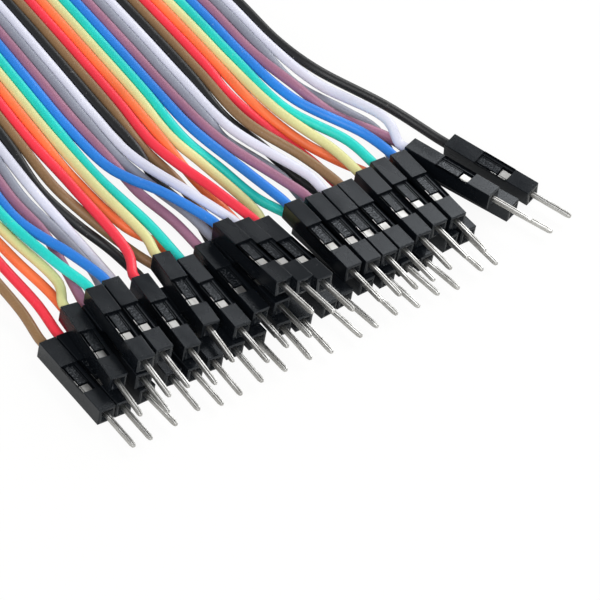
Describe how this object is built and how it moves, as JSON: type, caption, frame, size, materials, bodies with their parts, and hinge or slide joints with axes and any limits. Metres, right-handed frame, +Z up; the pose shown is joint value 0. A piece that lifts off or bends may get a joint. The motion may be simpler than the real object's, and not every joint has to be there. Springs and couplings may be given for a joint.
{
  "type": "breadboard jumper wire ribbon",
  "caption": "Flat rainbow ribbon of bonded jumper wires, each with a black single-way housing and a square male crimp pin at both ends.",
  "frame": {"origin": "middle of the footprint, on the surface that the housings lie on", "axes": "+Z up; the ribbon runs along Y, the near housings and their pins point to -Y and the far ones to +Y; wire 1 is on the +X side"},
  "size_m": [0.079, 0.1426, 0.009],
  "materials": {
    "wire_black": "soft semi-gloss PVC insulation with a fine speckle",
    "wire_white": "soft semi-gloss PVC insulation with a fine speckle",
    "wire_grey": "soft semi-gloss PVC insulation with a fine speckle",
    "wire_purple": "soft semi-gloss PVC insulation with a fine speckle",
    "wire_blue": "soft semi-gloss PVC insulation with a fine speckle",
    "wire_green": "soft semi-gloss PVC insulation with a fine speckle",
    "wire_yellow": "soft semi-gloss PVC insulation with a fine speckle",
    "wire_orange": "soft semi-gloss PVC insulation with a fine speckle",
    "wire_red": "soft semi-gloss PVC insulation with a fine speckle",
    "wire_brown": "soft semi-gloss PVC insulation with a fine speckle",
    "housing": "satin black moulded plastic",
    "pin": "bright tin-plated folded sheet"
  },
  "bodies": {
    "root": {"wire_01_black": "wire_black", "wire_02_white": "wire_white", "wire_03_grey": "wire_grey", "wire_04_purple": "wire_purple", "wire_05_blue": "wire_blue", "wire_06_green": "wire_green", "wire_07_yellow": "wire_yellow", "wire_08_orange": "wire_orange", "wire_09_red": "wire_red", "wire_10_brown": "wire_brown", "wire_11_black": "wire_black", "wire_12_white": "wire_white", "wire_13_grey": "wire_grey", "wire_14_purple": "wire_purple", "wire_15_blue": "wire_blue", "wire_16_green": "wire_green", "wire_17_yellow": "wire_yellow", "wire_18_orange": "wire_orange", "wire_19_red": "wire_red", "wire_20_brown": "wire_brown", "wire_21_black": "wire_black", "wire_22_white": "wire_white", "wire_23_grey": "wire_grey", "wire_24_purple": "wire_purple", "wire_25_blue": "wire_blue", "wire_26_green": "wire_green", "wire_27_yellow": "wire_yellow", "wire_28_orange": "wire_orange", "wire_29_red": "wire_red", "wire_30_brown": "wire_brown", "wire_31_black": "wire_black", "wire_32_white": "wire_white", "wire_33_grey": "wire_grey", "wire_34_purple": "wire_purple", "wire_35_blue": "wire_blue", "wire_36_green": "wire_green", "wire_37_yellow": "wire_yellow", "wire_38_orange": "wire_orange", "wire_39_red": "wire_red", "wire_40_brown": "wire_brown", "near_housing_01": "housing", "near_housing_04_02": "housing", "near_housing_03_05": "housing", "near_housing_08_06": "housing", "near_housing_09_07": "housing", "near_housing_11_10": "housing", "near_housing_13_12": "housing", "near_housing_16_15_14": "housing", "near_housing_18_17": "housing", "near_housing_25_22_19": "housing", "near_housing_21_20_23": "housing", "near_housing_28_24": "housing", "near_housing_30_26": "housing", "near_housing_31_27": "housing", "near_housing_33_32_29": "housing", "near_housing_36_35": "housing", "near_housing_38_34": "housing", "near_housing_40_39_37": "housing", "far_housings_lower": "housing", "far_housings_upper": "housing"}
  },
  "joints": []
}
